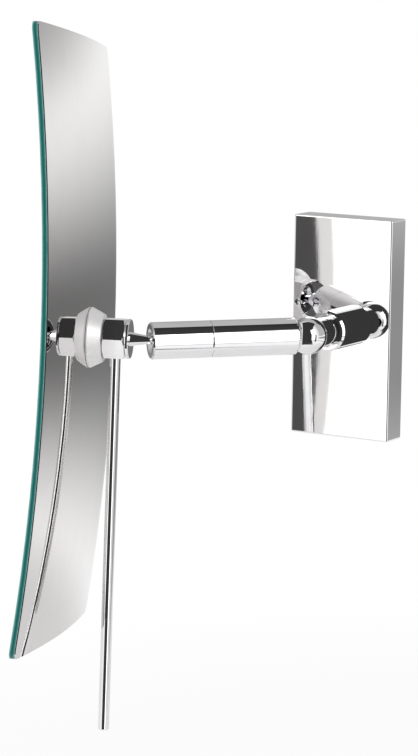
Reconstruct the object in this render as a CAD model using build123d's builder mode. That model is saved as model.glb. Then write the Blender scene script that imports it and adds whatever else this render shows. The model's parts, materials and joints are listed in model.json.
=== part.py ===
from build123d import *
import math
import os

# Swivel makeup mirror on a wall arm: a box-shaped wall cover over a bracket, a short stem with a
# spring-loaded knuckle ball, a two-part arm tube, a second ball joint and a concave mirror with a
# handle rod. Millimetres. Origin on the wall, behind the middle of the cover. X to the right,
# Y into the wall, Z up. The mirror stands swung out to the left.

# Wall cover and bracket
cover_width = 50.0
cover_height = 100.0
cover_depth = 12.5
cover_wall = 2.0
cover_edge_radius = 0.8
bracket_thickness = 2.5
bracket_corner = 2.5
bracket_fit = 0.3
bracket_side_gap = 3.5
tab_width = 26.0
tab_depth = 8.0
screw_spacing = 60.0
screw_hole_radius = 2.5
grub_radius = 2.0
grub_length = 4.6
grub_socket = 2.0
grub_height = 5.0

# Stem on the cover
barrel_radius = 9.1
barrel_length = 13.5
barrel_floor = 6.0
barrel_lip = 1.8
barrel_bevel = 0.8
lip_depth = 1.5
stem_bolt_radius = 3.0
stem_bolt_grip = 5.0
stem_head_radius = 5.0
stem_head_height = 4.0
stem_head_socket = 5.0
stem_socket_depth = 2.0
stem_head_edge = 0.5
washer_radius = 8.0
washer_thickness = 1.5

# Knuckle: hollow ball, seat cup and the spring-loaded bolt through the ball's slot
ball_reach = 30.0
knuckle_radius = 8.4
knuckle_cavity = 4.9
knuckle_flat = 6.0
cup_radius = 6.65
cup_shoulder = 17.0
cup_pocket_radius = 4.8
tension_radius = 2.0
mushroom_gap = 0.1
mushroom_cut = 2.4
slot_gap = 0.3
tension_tip = 7.0
tension_socket = 2.0
tension_socket_depth = 1.0
nut_height = 2.4
nut_flats = 7.0
nut_start = 8.0
spring_washer_radius = 4.5
spring_washer_thickness = 0.8

# Arm tube
arm_radius = 8.2
arm_wall = 1.6
arm_length = 65.8
seam_at = 38.9
seam_groove = 0.35
arm_edge = 0.6
plug_length = 8.0
plug_spigot = 2.8
plug_socket = 5.0
plug_socket_depth = 4.0
nipple_reach = 7.0
nipple_bore = 4.0
ball_chamber = 5.9

# Mirror-side ball joint
head_ball_radius = 5.5
mouth_radius = 4.15
mouth_flare = 5.3
ball_seat_length = 6.0
ball_seat_rim = 2.8
neck_small = 1.65
neck_large = 3.1
neck_in_ball = 4.5
neck_thread = 2.5
neck_thread_length = 3.4

# Mirror hub and handle
hub_to_ball = 31.8
flange_large = 13.3
flange_small = 10.5
flange_height = 6.0
flange_rim = 0.6
hex_flats = 17.0
hex_length = 10.4
hex_chamfer = 1.1
disc_radius = 8.8
disc_thickness = 1.5
disc_edge = 0.3
stud_radius = 3.0
stud_length = 10.0
rod_radius = 2.45
rod_reach = 174.0
rod_thread = 4.0
rod_edge = 0.5

# Mirror
mirror_width = 164.0
mirror_height = 263.5
mirror_corner = 4.0
mirror_back_radius = 1000.0
back_thickness = 0.4
glass_thickness = 2.3
glass_bond = 0.1

# Springs
tension_wire = 0.8
tension_turns = 4
pressure_wire = 1.1
pressure_turns = 3

# Clearances
thread_fit = 0.05
running_fit = 0.08
thread_runout = 0.3

# Rest directions: turned from straight out of the wall towards the left, and raised. The mirror
# leans by its roll, the handle rod by its own, and the last angle is the knuckle's widest.
arm_angle = 45.0
arm_rise = -0.7
head_angle = 67.0
head_rise = 0.6
mirror_roll = 6.3
rod_roll = 4.0
knuckle_limit = 53.0

# Frames: local Z runs out of the wall, along the arm, and from the mirror back towards the arm
cover_front = -cover_depth


def outwards(angle, rise):
    """The direction out of the wall, turned left by an angle and raised by another."""
    return Vector(0, -1, 0).rotate(Axis.X, -rise).rotate(Axis.Z, -angle)


arm_way = outwards(arm_angle, arm_rise)
head_way = outwards(head_angle, head_rise)
knuckle_centre = Vector(0, cover_front - ball_reach, 0)
arm_start = knuckle_centre + arm_way * knuckle_flat
head_centre = arm_start + arm_way * (arm_length - head_ball_radius)
hub_centre = head_centre + head_way * hub_to_ball

stem_way = Vector(0, -1, 0)
stem = Plane(origin=(0, cover_front, 0), x_dir=(1, 0, 0), z_dir=stem_way)
knuckle_turn = Axis(knuckle_centre, arm_way.cross(stem_way))
arm = Plane(origin=knuckle_centre, x_dir=knuckle_turn.direction, z_dir=arm_way)
socket = Plane(origin=head_centre, x_dir=knuckle_turn.direction, z_dir=arm_way)
level = head_way.cross(Vector(0, 0, 1))


def facing(roll):
    """The frame at the mirror's back, with its x axis leaning from upright by a roll."""
    upright = level.cross(head_way).rotate(Axis((0, 0, 0), head_way), roll)
    return Plane(origin=hub_centre, x_dir=upright, z_dir=-head_way)


hub = facing(mirror_roll)
bar = facing(rod_roll)


def side_of(frame):
    """The plane through a frame's axis, where a turned piece's profile is drawn as radius and height."""
    return Plane(origin=frame.origin, x_dir=frame.x_dir, z_dir=-frame.y_dir)


def axis_of(frame):
    return Axis(frame.origin, frame.z_dir)


os.makedirs("parts", exist_ok=True)

# Wall bracket: pressed plate with two screw holes and a tab bent forward at each end. The lower
# tab has the thread for the cover's set screw.
bracket_width = cover_width - 2 * (cover_wall + bracket_side_gap)
bracket_height = cover_height - 2 * (cover_wall + bracket_fit)
with BuildPart() as wall_bracket:
    with BuildSketch(Plane.XZ):
        RectangleRounded(bracket_width, bracket_height, bracket_corner)
    extrude(amount=bracket_thickness)
    with BuildSketch(Plane.XZ):
        with GridLocations(1, bracket_height - bracket_thickness, 1, 2):
            Rectangle(tab_width, bracket_thickness)
    extrude(amount=tab_depth)
    inner_bends = (
        wall_bracket.edges()
        .filter_by(Axis.X)
        .filter_by_position(Axis.Y, -bracket_thickness - 0.01, -bracket_thickness + 0.01)
        .filter_by_position(Axis.Z, -bracket_height / 2 + 1, bracket_height / 2 - 1)
    )
    fillet(inner_bends, bracket_thickness / 3)
    with BuildSketch(Plane.XZ):
        with GridLocations(1, screw_spacing, 1, 2):
            Circle(screw_hole_radius)
    extrude(amount=bracket_thickness, mode=Mode.SUBTRACT)
    with BuildSketch(Plane.XY.offset(-bracket_height / 2)):
        with Locations((0, -grub_height)):
            Circle(grub_radius + thread_fit)
    extrude(amount=bracket_thickness, mode=Mode.SUBTRACT)
wall_bracket.part.label = "wall_bracket"
export_step(wall_bracket.part, "parts/wall_bracket.step")

# Wall cover: drawn box with an open back, softened edges, a hole for the stem bolt in its front
# and one for the set screw in its underside.
with BuildPart() as cover_plate:
    with BuildSketch(Plane.XZ):
        Rectangle(cover_width, cover_height)
    extrude(amount=cover_depth)
    outer_back = cover_plate.faces().sort_by(Axis.Y)[-1]
    fillet(cover_plate.edges() - outer_back.edges(), cover_edge_radius)
    offset(amount=-cover_wall, openings=cover_plate.faces().sort_by(Axis.Y)[-1])
    with BuildSketch(Plane.XZ.offset(cover_depth)):
        Circle(stem_bolt_radius + running_fit)
    extrude(amount=-cover_wall, mode=Mode.SUBTRACT)
    with BuildSketch(Plane.XY.offset(-cover_height / 2)):
        with Locations((0, -grub_height)):
            Circle(grub_radius + running_fit)
    extrude(amount=cover_wall, mode=Mode.SUBTRACT)
cover_plate.part.label = "cover_plate"
export_step(cover_plate.part, "parts/cover_plate.step")

# Set screw: headless, with a hexagon socket in its lower end.
grub_recess = cover_wall - grub_length + bracket_fit + bracket_thickness
with BuildPart() as cover_grub_screw:
    with BuildSketch(Plane.XY.offset(-cover_height / 2 + grub_recess)):
        with Locations((0, -grub_height)):
            Circle(grub_radius)
    extrude(amount=grub_length)
    with BuildSketch(Plane.XY.offset(-cover_height / 2 + grub_recess)):
        with Locations((0, -grub_height)):
            RegularPolygon(grub_socket / 2, 6, major_radius=False)
    extrude(amount=grub_socket, mode=Mode.SUBTRACT)
cover_grub_screw.part.label = "cover_grub_screw"
export_step(cover_grub_screw.part, "parts/cover_grub_screw.step")

# Stem bolt and washer: clamp the barrel on the cover's front from inside.
washer_start = -cover_wall - washer_thickness
head_start = washer_start - stem_head_height
with BuildPart() as stem_bolt:
    with BuildSketch(side_of(stem)):
        with BuildLine():
            Polyline(
                (0, head_start),
                (stem_head_radius, head_start),
                (stem_head_radius, washer_start),
                (stem_bolt_radius, washer_start),
                (stem_bolt_radius, stem_bolt_grip),
                (0, stem_bolt_grip),
                close=True,
            )
        make_face()
    revolve(axis=axis_of(stem))
    with BuildSketch(stem.offset(head_start)):
        RegularPolygon(stem_head_socket / 2, 6, major_radius=False)
    extrude(amount=stem_socket_depth, mode=Mode.SUBTRACT)
    chamfer(stem_bolt.edges().filter_by(GeomType.CIRCLE).group_by(Axis.Y)[-1], stem_head_edge)
stem_bolt.part.label = "stem_bolt"
export_step(stem_bolt.part, "parts/stem_bolt.step")

with BuildPart() as stem_washer:
    with BuildSketch(stem.offset(washer_start)):
        Circle(washer_radius)
        Circle(stem_bolt_radius + running_fit, mode=Mode.SUBTRACT)
    extrude(amount=washer_thickness)
stem_washer.part.label = "stem_washer"
export_step(stem_washer.part, "parts/stem_washer.step")

# Stem barrel: turned sleeve with a thick floor for the bolt. Its bore takes the seat cup's
# thread, and its lip is bevelled and stands off from the cup.
cup_start = barrel_floor + thread_runout
lip_radius = barrel_radius - barrel_lip
with BuildPart() as stem_barrel:
    with BuildSketch(side_of(stem)):
        with BuildLine():
            Polyline(
                (0, stem_bolt_grip + thread_runout),
                (stem_bolt_radius + thread_fit, stem_bolt_grip + thread_runout),
                (stem_bolt_radius + thread_fit, 0),
                (barrel_radius, 0),
                (barrel_radius, barrel_length - barrel_bevel),
                (barrel_radius - barrel_bevel, barrel_length),
                (lip_radius, barrel_length),
                (lip_radius, barrel_length - lip_depth),
                (cup_radius + thread_fit, barrel_length - lip_depth),
                (cup_radius + thread_fit, barrel_floor),
                (0, barrel_floor),
                close=True,
            )
        make_face()
    revolve(axis=axis_of(stem))
stem_barrel.part.label = "stem_barrel"
export_step(stem_barrel.part, "parts/stem_barrel.step")


def cap_height(radius, rim):
    """How far from a ball's centre a circle of the radius rim lies on its surface."""
    return math.sqrt(radius**2 - rim**2)


# Seat cup: round piece screwed into the barrel. Its hollow front end fits the knuckle ball, and
# the pocket in its rear holds the spring.
seat_radius = knuckle_radius + running_fit
tension_bore = tension_radius + running_fit
with BuildPart() as seat_cup:
    with BuildSketch(side_of(stem)):
        with BuildLine():
            rim_height = ball_reach - cap_height(seat_radius, cup_radius)
            bore_height = ball_reach - cap_height(seat_radius, tension_bore)
            Polyline(
                (cup_radius, rim_height),
                (cup_radius, cup_start),
                (cup_pocket_radius, cup_start),
                (cup_pocket_radius, cup_shoulder),
                (tension_bore, cup_shoulder),
                (tension_bore, bore_height),
            )
            RadiusArc((tension_bore, bore_height), (cup_radius, rim_height), -seat_radius)
        make_face()
    revolve(axis=axis_of(stem))
seat_cup.part.label = "seat_cup"
export_step(seat_cup.part, "parts/seat_cup.step")

# Tension bolt: its mushroom head lies in the hollow ball and its shank comes out through the
# ball's slot, so the spring behind the cup pulls the ball into its seat.
mushroom_radius = knuckle_cavity - mushroom_gap
with BuildPart() as tension_bolt:
    with BuildSketch(side_of(stem)):
        with BuildLine():
            neck_height = ball_reach - cap_height(mushroom_radius, tension_radius)
            cut_height = ball_reach - mushroom_cut
            cut_radius = cap_height(mushroom_radius, mushroom_cut)
            Polyline(
                (cut_radius, cut_height),
                (0, cut_height),
                (0, tension_tip),
                (tension_radius, tension_tip),
                (tension_radius, neck_height),
            )
            RadiusArc((tension_radius, neck_height), (cut_radius, cut_height), -mushroom_radius)
        make_face()
    revolve(axis=axis_of(stem))
    with BuildSketch(stem.offset(cut_height)):
        RegularPolygon(tension_socket / 2, 6, major_radius=False)
    extrude(amount=-tension_socket_depth, mode=Mode.SUBTRACT)
tension_bolt.part.label = "tension_bolt"
export_step(tension_bolt.part, "parts/tension_bolt.step")

with BuildPart() as tension_nut:
    with BuildSketch(stem.offset(nut_start)):
        RegularPolygon(nut_flats / 2, 6, major_radius=False)
        Circle(tension_radius + thread_fit, mode=Mode.SUBTRACT)
    extrude(amount=nut_height)
tension_nut.part.label = "tension_nut"
export_step(tension_nut.part, "parts/tension_nut.step")

spring_washer_start = nut_start + nut_height
with BuildPart() as tension_washer:
    with BuildSketch(stem.offset(spring_washer_start)):
        Circle(spring_washer_radius)
        Circle(tension_bore, mode=Mode.SUBTRACT)
    extrude(amount=spring_washer_thickness)
tension_washer.part.label = "tension_washer"
export_step(tension_washer.part, "parts/tension_washer.step")


def coil(frame, start, end, wire, coil_radius, turns):
    """A compression spring's wire between two heights of a frame."""
    rise = end - start - wire
    seat = frame.offset(start + wire / 2).origin
    with BuildPart() as spring:
        with BuildLine():
            path = Helix(rise / turns, rise, coil_radius, center=seat, direction=frame.z_dir)
        with BuildSketch(Plane(origin=path @ 0, z_dir=path % 0)):
            Circle(wire / 2)
        sweep(path=path, is_frenet=True)
    return spring


# Tension spring: between the washer and the cup's shoulder.
tension_coil_radius = (tension_bore + cup_pocket_radius) / 2
tension_spring = coil(
    stem,
    spring_washer_start + spring_washer_thickness,
    cup_shoulder,
    tension_wire,
    tension_coil_radius,
    tension_turns,
)
tension_spring.part.label = "tension_spring"
export_step(tension_spring.part, "parts/tension_spring.step")

# Knuckle ball: hollow, cut flat where it meets the arm, with a slot for the tension bolt from
# straight out to the widest angle.
slot_half = tension_radius + slot_gap
flat_radius = cap_height(knuckle_radius, knuckle_flat)
slot_starts = -arm_way
slot_ends = slot_starts.rotate(Axis((0, 0, 0), knuckle_turn.direction), knuckle_limit)
slot_side = Plane(knuckle_centre, x_dir=slot_starts, z_dir=slot_starts.cross(knuckle_turn.direction))
with BuildPart() as knuckle_ball:
    with BuildSketch(side_of(arm)):
        with BuildLine():
            ThreePointArc((0, -knuckle_radius), (knuckle_radius, 0), (flat_radius, knuckle_flat))
            Polyline(
                (flat_radius, knuckle_flat),
                (knuckle_cavity, knuckle_flat),
                (knuckle_cavity, 0),
            )
            RadiusArc((knuckle_cavity, 0), (0, -knuckle_cavity), knuckle_cavity)
            Line((0, -knuckle_cavity), (0, -knuckle_radius))
        make_face()
    revolve(axis=axis_of(arm))
    with BuildSketch(slot_side):
        with Locations((knuckle_radius, 0)):
            Rectangle(2 * knuckle_radius, 2 * slot_half)
    revolve(axis=knuckle_turn, revolution_arc=knuckle_limit, mode=Mode.SUBTRACT)
    for way in (slot_starts, slot_ends):
        with BuildSketch(Plane(origin=knuckle_centre, z_dir=way)):
            Circle(slot_half)
        extrude(amount=2 * knuckle_radius, mode=Mode.SUBTRACT)
knuckle_ball.part.label = "knuckle_ball"
export_step(knuckle_ball.part, "parts/knuckle_ball.step")

# End plug: screwed into the arm sleeve, with a short spigot on which the ball is screwed.
arm_bore = arm_radius - arm_wall
with BuildPart() as end_plug:
    with BuildSketch(side_of(arm)):
        with BuildLine():
            Polyline(
                (0, knuckle_flat - plug_spigot),
                (knuckle_cavity - thread_fit, knuckle_flat - plug_spigot),
                (knuckle_cavity - thread_fit, knuckle_flat),
                (arm_bore - thread_fit, knuckle_flat),
                (arm_bore - thread_fit, knuckle_flat + plug_length),
                (0, knuckle_flat + plug_length),
                close=True,
            )
        make_face()
    revolve(axis=axis_of(arm))
    with BuildSketch(arm.offset(knuckle_flat + plug_length)):
        RegularPolygon(plug_socket / 2, 6, major_radius=False)
    extrude(amount=-plug_socket_depth, mode=Mode.SUBTRACT)
end_plug.part.label = "end_plug"
export_step(end_plug.part, "parts/end_plug.step")

# Arm sleeve: right-hand length of the tube, from the ball to the seam.
seam = knuckle_flat + seam_at
arm_end = knuckle_flat + arm_length
with BuildPart() as arm_sleeve:
    with BuildSketch(side_of(arm)):
        with BuildLine():
            Polyline(
                (arm_bore, knuckle_flat),
                (arm_radius - arm_edge, knuckle_flat),
                (arm_radius, knuckle_flat + arm_edge),
                (arm_radius, seam - seam_groove),
                (arm_radius - seam_groove, seam),
                (arm_bore, seam),
                close=True,
            )
        make_face()
    revolve(axis=axis_of(arm))
arm_sleeve.part.label = "arm_sleeve"
export_step(arm_sleeve.part, "parts/arm_sleeve.step")

# Coupling nipple: threaded tube half in each sleeve. The pressure spring bears on its end.
with BuildPart() as coupling_nipple:
    with BuildSketch(arm.offset(seam - nipple_reach)):
        Circle(arm_bore - thread_fit)
        Circle(nipple_bore, mode=Mode.SUBTRACT)
    extrude(amount=2 * nipple_reach)
coupling_nipple.part.label = "coupling_nipple"
export_step(coupling_nipple.part, "parts/coupling_nipple.step")

# Socket sleeve: left-hand length of the tube. Its mouth narrows to a round lip that holds the
# mirror's ball and flares again so that the neck can swing.
socket_radius = head_ball_radius + running_fit
mouth_height = cap_height(socket_radius, mouth_radius)
seam_below = seam - (arm_end - head_ball_radius)
with BuildPart() as socket_sleeve:
    with BuildSketch(side_of(socket)):
        with BuildLine():
            Polyline(
                (mouth_radius, mouth_height),
                (mouth_flare, head_ball_radius),
                (arm_radius - arm_edge, head_ball_radius),
                (arm_radius, head_ball_radius - arm_edge),
                (arm_radius, seam_below + seam_groove),
                (arm_radius - seam_groove, seam_below),
                (arm_bore, seam_below),
                (arm_bore, seam_below + nipple_reach + thread_runout),
                (ball_chamber, seam_below + nipple_reach + thread_runout),
                (ball_chamber, 0),
                (socket_radius, 0),
            )
            RadiusArc((socket_radius, 0), (mouth_radius, mouth_height), -socket_radius)
        make_face()
    revolve(axis=axis_of(socket))
socket_sleeve.part.label = "socket_sleeve"
export_step(socket_sleeve.part, "parts/socket_sleeve.step")

# Ball seat: moulded cup that the spring presses against the back of the mirror's ball.
seat_back = -ball_seat_rim - ball_seat_length
with BuildPart() as ball_seat:
    with BuildSketch(side_of(socket)):
        with BuildLine():
            seat_rim_radius = cap_height(socket_radius, ball_seat_rim)
            Polyline(
                (0, -socket_radius),
                (0, seat_back),
                (ball_chamber - running_fit, seat_back),
                (ball_chamber - running_fit, -ball_seat_rim),
                (seat_rim_radius, -ball_seat_rim),
            )
            RadiusArc((seat_rim_radius, -ball_seat_rim), (0, -socket_radius), socket_radius)
        make_face()
    revolve(axis=axis_of(socket))
ball_seat.part.label = "ball_seat"
export_step(ball_seat.part, "parts/ball_seat.step")

# Pressure spring: between the nipple's end and the ball seat.
pressure_coil_radius = (nipple_bore + ball_chamber) / 2
pressure_spring = coil(
    socket,
    seam_below + nipple_reach,
    seat_back,
    pressure_wire,
    pressure_coil_radius,
    pressure_turns,
)
pressure_spring.part.label = "pressure_spring"
export_step(pressure_spring.part, "parts/pressure_spring.step")

# Mirror's ball: bored for the neck.
neck_tip = hub_to_ball - head_ball_radius + neck_in_ball
with BuildPart() as head_ball:
    with BuildSketch(side_of(hub)):
        with BuildLine():
            bore_radius = neck_small + running_fit
            bore_mouth = hub_to_ball - cap_height(head_ball_radius, bore_radius)
            ball_end = hub_to_ball + head_ball_radius
            Polyline(
                (0, ball_end),
                (0, neck_tip + running_fit),
                (bore_radius, neck_tip + running_fit),
                (bore_radius, bore_mouth),
            )
            ThreePointArc((bore_radius, bore_mouth), (head_ball_radius, hub_to_ball), (0, ball_end))
        make_face()
    revolve(axis=axis_of(hub))
head_ball.part.label = "head_ball"
export_step(head_ball.part, "parts/head_ball.step")

# Neck stud: threaded into the hexagon, with a cone that slims towards the ball.
hex_start = flange_height
hex_end = hex_start + hex_length
disc_end = hex_end + disc_thickness
with BuildPart() as neck_stud:
    with BuildSketch(side_of(hub)):
        with BuildLine():
            Polyline(
                (0, hex_end - neck_thread_length),
                (neck_thread, hex_end - neck_thread_length),
                (neck_thread, disc_end),
                (neck_large, disc_end),
                (neck_small, hub_to_ball - head_ball_radius),
                (neck_small, neck_tip),
                (0, neck_tip),
                close=True,
            )
        make_face()
    revolve(axis=axis_of(hub))
neck_stud.part.label = "neck_stud"
export_step(neck_stud.part, "parts/neck_stud.step")

# End disc: thin washer that closes the hexagon.
with BuildPart() as end_disc:
    with BuildSketch(hub.offset(hex_end)):
        Circle(disc_radius)
        Circle(neck_thread + thread_fit, mode=Mode.SUBTRACT)
    extrude(amount=disc_thickness)
    rims = end_disc.edges().filter_by(GeomType.CIRCLE).group_by(SortBy.RADIUS)[-1]
    chamfer(rims, disc_edge)
end_disc.part.label = "end_disc"
export_step(end_disc.part, "parts/end_disc.step")

# Hexagon: bar stock with turned chamfers, a flat turned down for the handle rod, and a threaded
# hole in each end.
hex_corner = hex_flats / math.sqrt(3)
hex_middle = (hex_start + hex_end) / 2
with BuildPart() as hex_hub:
    with BuildSketch(bar.offset(hex_start)):
        RegularPolygon(hex_flats / 2, 6, major_radius=False, rotation=30)
    extrude(amount=hex_length)
    with BuildSketch(side_of(hub)):
        with BuildLine():
            chamfered = hex_corner - hex_chamfer * math.sqrt(3)
            Polyline(
                (0, hex_start),
                (chamfered, hex_start),
                (hex_corner, hex_start + hex_chamfer),
                (hex_corner, hex_end - hex_chamfer),
                (chamfered, hex_end),
                (0, hex_end),
                close=True,
            )
        make_face()
    revolve(axis=axis_of(hub), mode=Mode.INTERSECT)
    with BuildSketch(hub.offset(hex_start)):
        Circle(stud_radius + thread_fit)
    extrude(amount=stud_length - flange_height + thread_runout, mode=Mode.SUBTRACT)
    with BuildSketch(hub.offset(hex_end)):
        Circle(neck_thread + thread_fit)
    extrude(amount=-neck_thread_length - thread_runout, mode=Mode.SUBTRACT)
    rod_frame = Plane(
        origin=bar.from_local_coords((0, 0, hex_middle)), x_dir=bar.y_dir, z_dir=-bar.x_dir
    )
    with BuildSketch(rod_frame.offset(hex_flats / 2)):
        Circle(rod_radius + thread_fit)
    extrude(amount=-rod_thread - thread_runout, mode=Mode.SUBTRACT)
hex_hub.part.label = "hex_hub"
export_step(hex_hub.part, "parts/hex_hub.step")

# Handle rod: straight bar screwed up into the hexagon, for turning the mirror without touching
# the glass.
with BuildPart() as handle_rod:
    with BuildSketch(rod_frame.offset(hex_flats / 2 - rod_thread)):
        Circle(rod_radius)
    extrude(amount=rod_reach - hex_flats / 2 + rod_thread)
    chamfer(handle_rod.edges().filter_by(GeomType.CIRCLE).group_by(Axis.Z)[0], rod_edge)
handle_rod.part.label = "handle_rod"
export_step(handle_rod.part, "parts/handle_rod.step")

# Flange: turned cone that spreads the load on the mirror's back.
with BuildPart() as hub_flange:
    with BuildSketch(side_of(hub)):
        with BuildLine():
            Polyline(
                (stud_radius + running_fit, 0),
                (flange_large, 0),
                (flange_large, flange_rim),
                (flange_small, flange_height),
                (stud_radius + running_fit, flange_height),
                close=True,
            )
        make_face()
    revolve(axis=axis_of(hub))
hub_flange.part.label = "hub_flange"
export_step(hub_flange.part, "parts/hub_flange.step")

# Mounting stud: welded to the back plate, through the flange and into the hexagon.
with BuildPart() as mounting_stud:
    with BuildSketch(hub):
        Circle(stud_radius)
    extrude(amount=stud_length)
mounting_stud.part.label = "mounting_stud"
export_step(mounting_stud.part, "parts/mounting_stud.step")


def dished_sheet(thickness, depth):
    """A sheet of the mirror's outline bent to a sphere, with its back at a depth below the hub."""
    outer = mirror_back_radius - depth
    inner = outer - thickness
    spread = math.degrees(math.asin(math.hypot(mirror_width, mirror_height) / 2 / inner))
    across = Axis(hub.offset(-mirror_back_radius).origin, hub.x_dir)
    square_on = (-hub.y_dir).rotate(Axis((0, 0, 0), hub.x_dir), -spread)
    first_side = Plane(across.position, x_dir=hub.x_dir, z_dir=square_on)
    with BuildPart() as sheet:
        with BuildSketch(first_side):
            with BuildLine():
                front = CenterArc((0, 0), inner, 90 - spread, 2 * spread)
                back = CenterArc((0, 0), outer, 90 - spread, 2 * spread)
                Line(front @ 0, back @ 0)
                Line(front @ 1, back @ 1)
            make_face()
        revolve(axis=across, revolution_arc=2 * spread)
        with BuildSketch(hub):
            RectangleRounded(mirror_height, mirror_width, mirror_corner)
        extrude(amount=mirror_width, both=True, mode=Mode.INTERSECT)
    return sheet


# Back plate: thin polished sheet. Glass: follows it at the thickness of the adhesive.
back_plate = dished_sheet(back_thickness, 0)
back_plate.part.label = "back_plate"
export_step(back_plate.part, "parts/back_plate.step")

mirror_glass = dished_sheet(glass_thickness, back_thickness + glass_bond)
mirror_glass.part.label = "mirror_glass"
export_step(mirror_glass.part, "parts/mirror_glass.step")
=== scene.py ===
import json
import math

import bpy
from mathutils import Matrix, Vector

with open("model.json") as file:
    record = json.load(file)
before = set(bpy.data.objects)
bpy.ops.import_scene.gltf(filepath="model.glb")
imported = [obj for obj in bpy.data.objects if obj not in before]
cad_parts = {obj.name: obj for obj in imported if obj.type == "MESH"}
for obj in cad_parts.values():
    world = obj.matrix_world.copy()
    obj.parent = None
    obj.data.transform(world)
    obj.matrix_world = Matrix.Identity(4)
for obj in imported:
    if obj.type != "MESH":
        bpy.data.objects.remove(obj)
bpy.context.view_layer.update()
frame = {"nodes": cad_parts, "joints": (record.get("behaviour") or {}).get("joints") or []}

bpy.ops.object.select_all(action="DESELECT")


# Wall bracket: a pressed steel plate with two tabs, zinc plated after bending. It sits inside the
# wall cover and shows only from behind. The plating is slightly blue, with cloudy patches.
class Field:
    """A value that varies over a surface: a node's output, for use in expressions."""

    def __init__(self, tree, output=None):
        self.tree = tree
        self.output = output

    def feed(self, node, sockets):
        """Links or sets a node's sockets."""
        for key, value in sockets.items():
            if isinstance(value, Field):
                self.tree.links.new(value.output, node.inputs[key])
            else:
                node.inputs[key].default_value = value

    def node(self, kind, sockets, output=0, stops=(), **settings):
        """Adds a node, its settings first and then its sockets, and gives one of its outputs."""
        added = self.tree.nodes.new("ShaderNode" + kind)
        for name, setting in settings.items():
            setattr(added, name, setting)
        for number, (place, colour) in enumerate(stops):
            elements = added.color_ramp.elements
            stop = elements[number] if number < 2 else elements.new(place)
            stop.position = place
            stop.color = (*colour, 1)
        self.feed(added, sockets)
        return Field(self.tree, added.outputs[output])

    def math(self, operation, *values):
        return self.node("Math", dict(enumerate(values)), operation=operation)

    def __add__(self, other):
        return self.math("ADD", self, other)

    def __sub__(self, other):
        return self.math("SUBTRACT", self, other)

    def __rsub__(self, other):
        return self.math("SUBTRACT", other, self)

    def __mul__(self, other):
        return self.math("MULTIPLY", self, other)

    def __truediv__(self, other):
        return self.math("DIVIDE", self, other)

    def __abs__(self):
        return self.math("ABSOLUTE", self)

    __radd__ = __add__
    __rmul__ = __mul__

    def along(self, direction):
        """How far a place lies along a direction."""
        return self.node("VectorMath", {0: self, 1: direction}, output=1, operation="DOT_PRODUCT")

    def distance(self, centre):
        """How far a place lies from a centre."""
        return self.node("VectorMath", {0: self, 1: centre}, output=1, operation="DISTANCE")

    def step(self, low, high):
        """A soft step from 0 at the low value to 1 at the high one."""
        sockets = {"Value": self, "From Min": low, "From Max": high}
        return self.node("MapRange", sockets, interpolation_type="SMOOTHSTEP")

    def noise(self, size, detail=3.0, rough=0.5):
        """Noise between 0 and 1 with patches of about a size in metres."""
        sockets = {"Vector": self, "Scale": 1 / size, "Detail": detail, "Roughness": rough}
        return self.node("TexNoise", sockets)

    def blend(self, low, high):
        """A colour between two, by this factor."""
        sockets = {0: self, 6: (*low, 1) if isinstance(low, tuple) else low}
        sockets[7] = (*high, 1) if isinstance(high, tuple) else high
        return self.node("Mix", sockets, output=2, data_type="RGBA")


def metal(name, bright, dull, roughness, smear, lay, pitch, relief, metallic=1.0):
    """A worked surface: wipes in its roughness, dull patches, and tool marks across its lay."""
    patch_size, patch_edge = 0.014, (0.42, 0.72)
    wipe_size, wipe_edge = 0.03, (0.5, 0.78)
    swirl_size = 0.0045
    mark_share = 0.4
    mark_height = 0.35

    made = bpy.data.materials.new(name)
    made.use_nodes = True
    tree = Field(made.node_tree)
    place = tree.node("TexCoord", {}, output="Object")
    patches = place.noise(patch_size).step(*patch_edge)
    marks = tree.node("CombineXYZ", {0: place.along(lay)}).noise(pitch, detail=2.0)
    swirl = place.noise(swirl_size, detail=2.0)
    wipes = place.noise(wipe_size, detail=4.0, rough=0.62).step(*wipe_edge)
    wear = patches * (1 - mark_share) + marks * mark_share
    height = marks * mark_height + swirl
    tree.feed(
        made.node_tree.nodes["Principled BSDF"],
        {
            "Base Color": wear.blend(bright, dull),
            "Metallic": metallic,
            "Roughness": roughness + wipes * smear + (marks - 0.5) * (roughness / 2),
            "Normal": tree.node("Bump", {"Height": height, "Distance": relief}),
        },
    )
    return made


def dress(material, *names):
    """Gives CAD nodes a material."""
    for name in names:
        for slot in frame["nodes"][name].material_slots:
            slot.material = material


zinc = metal(
    "zinc_plate",
    bright=(0.66, 0.67, 0.70),
    dull=(0.50, 0.51, 0.55),
    roughness=0.26,
    smear=0.16,
    lay=(0.2, 0.1, 1),
    pitch=0.0009,
    relief=2e-5,
)
dress(zinc, "wall_bracket")


# Wall cover: a drawn brass box with an open back, mopped along its length and chrome plated. Its
# flat front is a little wavy, so the reflections in it waver.
cover_chrome = metal(
    "cover_chrome",
    bright=(0.97, 0.97, 0.97),
    dull=(0.94, 0.94, 0.95),
    roughness=0.02,
    smear=0.03,
    lay=(1, 0, 0),
    pitch=0.0006,
    relief=1.5e-6,
)
dress(cover_chrome, "cover_plate")


# Fasteners: turned and rolled steel screws, nut and washers, zinc plated. The set screw under the
# cover and the bolt head inside it are the only ones in view.
fastener = metal(
    "fastener_steel",
    bright=(0.62, 0.62, 0.64),
    dull=(0.44, 0.44, 0.47),
    roughness=0.24,
    smear=0.14,
    lay=(0, 1, 0),
    pitch=0.0003,
    relief=2e-5,
)
dress(fastener, "cover_grub_screw", "stem_bolt", "stem_washer", "tension_bolt", "tension_nut")
dress(fastener, "tension_washer", "mounting_stud")


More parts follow.
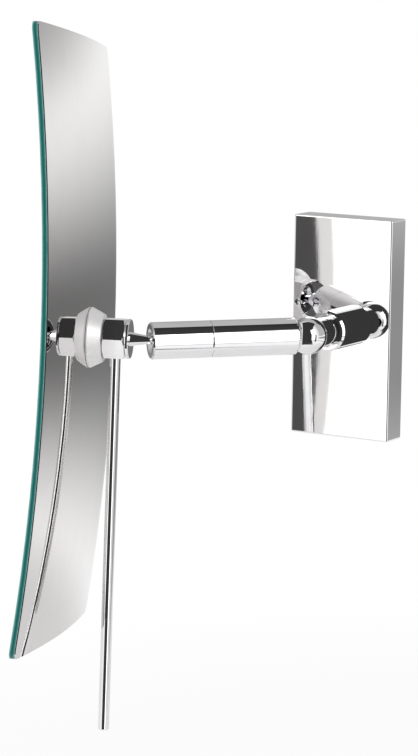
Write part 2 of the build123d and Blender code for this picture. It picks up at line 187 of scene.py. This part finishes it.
# Stem: the barrel on the cover and the seat cup screwed into it, turned from brass bar and chrome
# plated. The tool left fine rings round them under the plating.
stem_chrome = metal(
    "stem_chrome",
    bright=(0.93, 0.93, 0.93),
    dull=(0.84, 0.84, 0.86),
    roughness=0.03,
    smear=0.04,
    lay=(0, 1, 0),
    pitch=0.0004,
    relief=1.2e-6,
)
dress(stem_chrome, "stem_barrel", "seat_cup")


# Knuckle ball and the mirror's ball: turned to a sphere, polished all round, then chrome plated.
# Turning in their seats has hazed the plating a little.
ball_chrome = metal(
    "ball_chrome",
    bright=(0.94, 0.94, 0.94),
    dull=(0.82, 0.82, 0.84),
    roughness=0.02,
    smear=0.05,
    lay=(0.6, 0.6, 0.5),
    pitch=0.0007,
    relief=1e-6,
)
dress(ball_chrome, "knuckle_ball", "head_ball")


# Springs: coiled from drawn steel wire, oiled and dark. Neither one shows, since each is closed in
# by the piece it presses on.
wire = metal(
    "spring_wire",
    bright=(0.45, 0.45, 0.47),
    dull=(0.28, 0.27, 0.27),
    roughness=0.32,
    smear=0.12,
    lay=(0, 0, 1),
    pitch=0.0004,
    relief=1e-5,
)
dress(wire, "tension_spring", "pressure_spring")


# Arm tube: two sleeves turned and polished in one go, so that their seam is only a fine groove,
# and chrome plated. The tool's rings run round the tube.
joints = {joint["name"]: joint for joint in frame["joints"]}
arm_way = Vector(joints["head_turn"]["axis"])
arm_chrome = metal(
    "arm_chrome",
    bright=(0.94, 0.94, 0.95),
    dull=(0.86, 0.86, 0.88),
    roughness=0.02,
    smear=0.035,
    lay=arm_way,
    pitch=0.0011,
    relief=1e-6,
)
dress(arm_chrome, "arm_sleeve", "socket_sleeve")


# Plug and nipple: turned from brass bar and left bare, because the sleeves cover them. The plug
# closes the arm sleeve on the ball's side, and the nipple joins the two sleeves under their seam.
brass = metal(
    "turned_brass",
    bright=(0.83, 0.64, 0.33),
    dull=(0.62, 0.44, 0.20),
    roughness=0.22,
    smear=0.15,
    lay=arm_way,
    pitch=0.0003,
    relief=2e-5,
)
dress(brass, "end_plug", "coupling_nipple")


# Ball seat: a moulded cup of pale slippery plastic, with the fine sparked grain of its mould. The
# spring behind it presses it on the mirror's ball.
seat_plastic = metal(
    "seat_plastic",
    bright=(0.88, 0.87, 0.82),
    dull=(0.80, 0.78, 0.72),
    roughness=0.42,
    smear=0.1,
    lay=arm_way,
    pitch=0.0005,
    relief=3e-5,
    metallic=0.0,
)
dress(seat_plastic, "ball_seat")


# Hub: the hexagon milled from bar, its end disc, the neck stud and the handle rod, all polished
# and chrome plated. The rod's drawn surface runs lengthways.
head_way = Vector(joints["head_spin"]["axis"])
hub_chrome = metal(
    "hub_chrome",
    bright=(0.93, 0.92, 0.93),
    dull=(0.84, 0.83, 0.85),
    roughness=0.03,
    smear=0.05,
    lay=head_way,
    pitch=0.0005,
    relief=1.2e-6,
)
dress(hub_chrome, "hex_hub", "end_disc", "neck_stud")
level = head_way.cross(Vector((0, 0, 1))).normalized()
rod_chrome = metal(
    "rod_chrome",
    bright=(0.94, 0.94, 0.94),
    dull=(0.85, 0.85, 0.87),
    roughness=0.02,
    smear=0.03,
    lay=level,
    pitch=0.0007,
    relief=8e-7,
)
dress(rod_chrome, "handle_rod")


# Flange: a turned steel cone, left satin, with the lathe's rings round it. It spreads the load on
# the thin back plate.
flange_satin = metal(
    "flange_satin",
    bright=(0.93, 0.92, 0.92),
    dull=(0.78, 0.77, 0.77),
    roughness=0.40,
    smear=0.1,
    lay=head_way,
    pitch=0.00035,
    relief=3e-5,
    metallic=0.5,
)
dress(flange_satin, "hub_flange")


# Back plate: thin stainless sheet pressed to the curve of the glass and polished warm gray. The
# polishing runs along its length.
plate_steel = metal(
    "back_plate_steel",
    bright=(0.76, 0.74, 0.735),
    dull=(0.73, 0.71, 0.70),
    roughness=0.02,
    smear=0.035,
    lay=level,
    pitch=0.0006,
    relief=1.5e-6,
)
dress(plate_steel, "back_plate")


# Glass: silvered behind, so its front is a clean mirror. Its ground rim is painted with the green
# of the glass, with painted light at both faces and painted shade darkest in the middle of the
# thickness, where light passing through the glass would show.
hub_to_ball = 0.0318
mirror_roll = math.radians(6.3)
mirror_width = 0.164
mirror_height = 0.2635
mirror_corner = 0.004
back_radius = 1.0
glass_back = 0.0005
glass_thickness = 0.0023
rim_band = 0.0002
hub_centre = Vector(joints["head_spin"]["pos_m"]) + head_way * hub_to_ball
dish_centre = hub_centre + head_way * back_radius
upright = Matrix.Rotation(mirror_roll, 3, head_way) @ level.cross(head_way)
sideways = upright.cross(head_way)


def rim_mask(tree, place):
    """1 on the glass's rim and 0 on its faces, from the rounded outline."""
    from_hub = tree.node("VectorMath", {0: place, 1: hub_centre}, operation="SUBTRACT")
    over_side = abs(from_hub.along(sideways)) - (mirror_width / 2 - mirror_corner)
    over_end = abs(from_hub.along(upright)) - (mirror_height / 2 - mirror_corner)
    side = tree.math("MAXIMUM", over_side, 0.0)
    end = tree.math("MAXIMUM", over_end, 0.0)
    corner = tree.math("SQRT", side * side + end * end)
    return corner.step(mirror_corner - 2 * rim_band, mirror_corner - rim_band)


glass = bpy.data.materials.new("silvered_glass")
glass.use_nodes = True
glass_tree = Field(glass.node_tree)
glass_place = glass_tree.node("TexCoord", {}, output="Object")
rim = rim_mask(glass_tree, glass_place)
depth = (back_radius - glass_back - glass_place.distance(dish_centre)) / glass_thickness
streak_size, streak_depth = 0.004, 0.12
streaks = (glass_place.noise(streak_size) - 0.5) * streak_depth
# Rim colour across the thickness: the glass's green tint, with painted light at both faces and
# painted shade in the middle.
rim_green_and_painted_light = glass_tree.node(
    "ValToRGB",
    {0: depth + streaks},
    stops=(
        (0.0, (0.34, 0.52, 0.48)),
        (0.14, (0.035, 0.23, 0.21)),
        (0.5, (0.012, 0.10, 0.095)),
        (0.8, (0.05, 0.27, 0.25)),
        (1.0, (0.42, 0.62, 0.58)),
    ),
)
silver_clean, silver_filmed = (0.90, 0.93, 0.925), (0.87, 0.90, 0.90)
film_size, film_edge = 0.05, (0.5, 0.8)
film = glass_place.noise(film_size, detail=4.0).step(*film_edge)
clean_roughness, film_roughness, rim_roughness = 0.008, 0.012, 0.12
glass_tree.feed(
    glass.node_tree.nodes["Principled BSDF"],
    {
        "Base Color": rim.blend(film.blend(silver_clean, silver_filmed), rim_green_and_painted_light),
        "Metallic": 1 - rim,
        "Roughness": clean_roughness + film * film_roughness + rim * rim_roughness,
    },
)
dress(glass, "mirror_glass")


# Floor: a sheet of pale paper below the mirror, which keeps the soft shadow. It fades out before
# its edge, so that no line shows, and the camera sees it nearly as white as the backdrop.
floor_size = 1.2
floor_centre = Vector((0, 0.2, -0.30))
floor_fade = (0.30, 0.58)
floor_glow = 0.85
bpy.ops.mesh.primitive_plane_add(size=floor_size, location=floor_centre)
floor = bpy.context.object
floor.name = "studio_floor"
bpy.ops.object.transform_apply(location=True, rotation=True, scale=True)
paper = bpy.data.materials.new("floor_paper")
paper.use_nodes = True
paper_tree = Field(paper.node_tree)
paper_shader = paper.node_tree.nodes["Principled BSDF"]
paper_tree.feed(paper_shader, {"Base Color": (0.85, 0.85, 0.85, 1), "Roughness": 0.9})
matt = Field(paper.node_tree, paper_shader.outputs[0])
glow = paper_tree.node("Emission", {"Color": (1, 1, 1, 1), "Strength": 1.0})
seen = paper_tree.node("LightPath", {}, output="Is Camera Ray")
sheet = paper_tree.node("MixShader", {0: seen * floor_glow, 1: matt, 2: glow})
floor_reach = paper_tree.node("TexCoord", {}, output="Object").distance(floor_centre)
clear = paper_tree.node("BsdfTransparent", {})
faded = paper_tree.node("MixShader", {0: floor_reach.step(*floor_fade), 1: sheet, 2: clear})
paper_tree.feed(paper.node_tree.nodes["Material Output"], {"Surface": faded})
floor.data.materials.append(paper)


# Surroundings: white to the camera and even to matt surfaces. The chrome reflects a studio of its
# own, which takes light away from the white, one dark thing after another, by direction.
scene = bpy.context.scene
scene.world = bpy.data.worlds.new("studio")
scene.world.use_nodes = True
world_tree = Field(scene.world.node_tree)
way = world_tree.node("TexCoord", {}, output="Generated")
right = way.along((1, 0, 0))
left = way.along((-1, 0, 0))
front = way.along((0, -1, 0))
back = way.along((0, 1, 0))
rise = way.along((0, 0, 1))

# The dark screen round the camera, which runs up and over the mirror.
screen_turn = math.radians(22.5)
screen_front = Vector((math.sin(screen_turn), -math.cos(screen_turn), 0))
screen_side = Vector((math.cos(screen_turn), math.sin(screen_turn), 0))
screen_edge = (0.46, 0.50)
screen_end = (-0.18, -0.12)
screen_foot = (-0.80, -0.72)
screen = 1 - abs(way.along(screen_side)).step(*screen_edge)
screen = screen * way.along(screen_front).step(*screen_end) * rise.step(*screen_foot)

# The narrow card at the right, leaning a little, which the wall cover shows as its dark band.
card_near = math.radians(73.87)
card_far = math.radians(80)
card_lean = 0.136
near_blur = 0.004
far_blur = 0.03
card_foot = (-0.50, -0.46)
card_top = (0.14, 0.18)
bearing = world_tree.math("ARCTAN2", right, front)
card = (bearing - rise * card_lean).step(card_near - near_blur, card_near + near_blur)
card = card * (1 - bearing.step(card_far, card_far + far_blur))
card = card * rise.step(*card_foot) * (1 - rise.step(*card_top))

# The dim horizon behind the mirror, weaker at the right and much weaker at the far left, and the
# gray wall above it.
back_edge = (-0.1, 0.3)
horizon_rise = -0.142
horizon_fade = (0.01, 0.115)
right_edge, right_loss = (0.1, 0.5), 0.12
left_edge, left_loss = (0.365, 0.40), 0.55
upper_edge = (-0.03, 0.03)
behind = back.step(*back_edge)
horizon = (1 - abs(rise - horizon_rise).step(*horizon_fade)) * behind
horizon = horizon * (1 - right.step(*right_edge) * right_loss)
horizon = horizon * (1 - left.step(*left_edge) * left_loss)
upper = behind * rise.step(*upper_edge)

# The thin gap between the floor and the wall at the right, and the wall at the left, which grows
# darker upwards.
gap_rise = -0.378
gap_fade = (0.012, 0.02)
gap_edge = (0.3, 0.5)
left_wall_edge = (0.3, 0.8)
left_wall_climb = (-0.35, 0.45)
left_wall_low, left_wall_gain = 0.12, 0.4
floor_gap = (1 - abs(rise - gap_rise).step(*gap_fade)) * right.step(*gap_edge)
left_wall = rise.step(*left_wall_climb) * left_wall_gain + left_wall_low
left_wall = left.step(*left_wall_edge) * left_wall

taken = ((upper, 0.5), (screen, 0.96), (horizon, 0.82), (card, 0.9), (floor_gap, 0.8))
evenly = 0.80
studio = 1 - left_wall
for dark_thing, share in taken:
    studio = studio * (1 - dark_thing * share)
camera_ray = world_tree.node("LightPath", {}, output="Is Camera Ray")
glossy_ray = world_tree.node("LightPath", {}, output="Is Glossy Ray")
lit = glossy_ray * studio + (1 - glossy_ray) * evenly
strength = camera_ray + (1 - camera_ray) * lit
backdrop = scene.world.node_tree.nodes["Background"]
world_tree.feed(backdrop, {"Color": (1, 1, 1, 1), "Strength": strength})


# Lamps: two soft ones above, at the right and the left, and a tall strip at the right of the
# camera, whose far edge stands along the card.
def softbox(name, place, width, height, power, lean=0.0):
    """A soft rectangular lamp at a place, facing the mirror's hub and hidden from the camera."""
    lamp = bpy.data.lights.new(name, "AREA")
    lamp.shape = "RECTANGLE"
    lamp.size = width
    lamp.size_y = height
    lamp.energy = power
    box = bpy.data.objects.new(name, lamp)
    scene.collection.objects.link(box)
    box.location = place
    facing_hub = (Vector(place) - hub_centre).to_track_quat("Z", "Y").to_matrix()
    box.rotation_euler = (facing_hub @ Matrix.Rotation(lean, 3, "Z")).to_euler()
    box.visible_camera = False


strip_turn = math.radians(62.65)
strip_rise = 0.07
strip_distance = 1.5
strip_lean = -0.082
strip_way = Vector((math.sin(strip_turn), -math.cos(strip_turn), strip_rise))
strip_place = hub_centre + strip_way * strip_distance
softbox("key_softbox", (1.4, -0.8, 0.9), width=0.8, height=0.8, power=5.0)
softbox("fill_softbox", (-1.3, -1.0, 0.7), width=0.9, height=0.9, power=5.0)
softbox("strip_softbox", strip_place, width=0.48, height=1.34, power=1.4, lean=strip_lean)


# Camera: stands to the right of the wall cover and a little above it, with a long lens. It is
# shifted off the object's origin, so that the frame is filled as in the photograph.
turn = math.radians(31.0)
pitch = math.radians(9.09)
roll = math.radians(0.83)
distance = 1.32088
shift_right = -0.06554
shift_up = -0.02517
focal_length = 138.3
sensor = 36.0
facing = Matrix.Rotation(turn, 4, "Z") @ Matrix.Rotation(math.pi / 2 - pitch, 4, "X")
stand = facing @ Vector((shift_right, shift_up, distance))
lens = bpy.data.cameras.new("photo_camera")
lens.sensor_fit = "VERTICAL"
lens.sensor_height = sensor
lens.lens = focal_length
camera = bpy.data.objects.new("photo_camera", lens)
scene.collection.objects.link(camera)
camera.matrix_world = Matrix.Translation(stand) @ facing @ Matrix.Rotation(roll, 4, "Z")
scene.camera = camera
scene.view_settings.view_transform = "Standard"
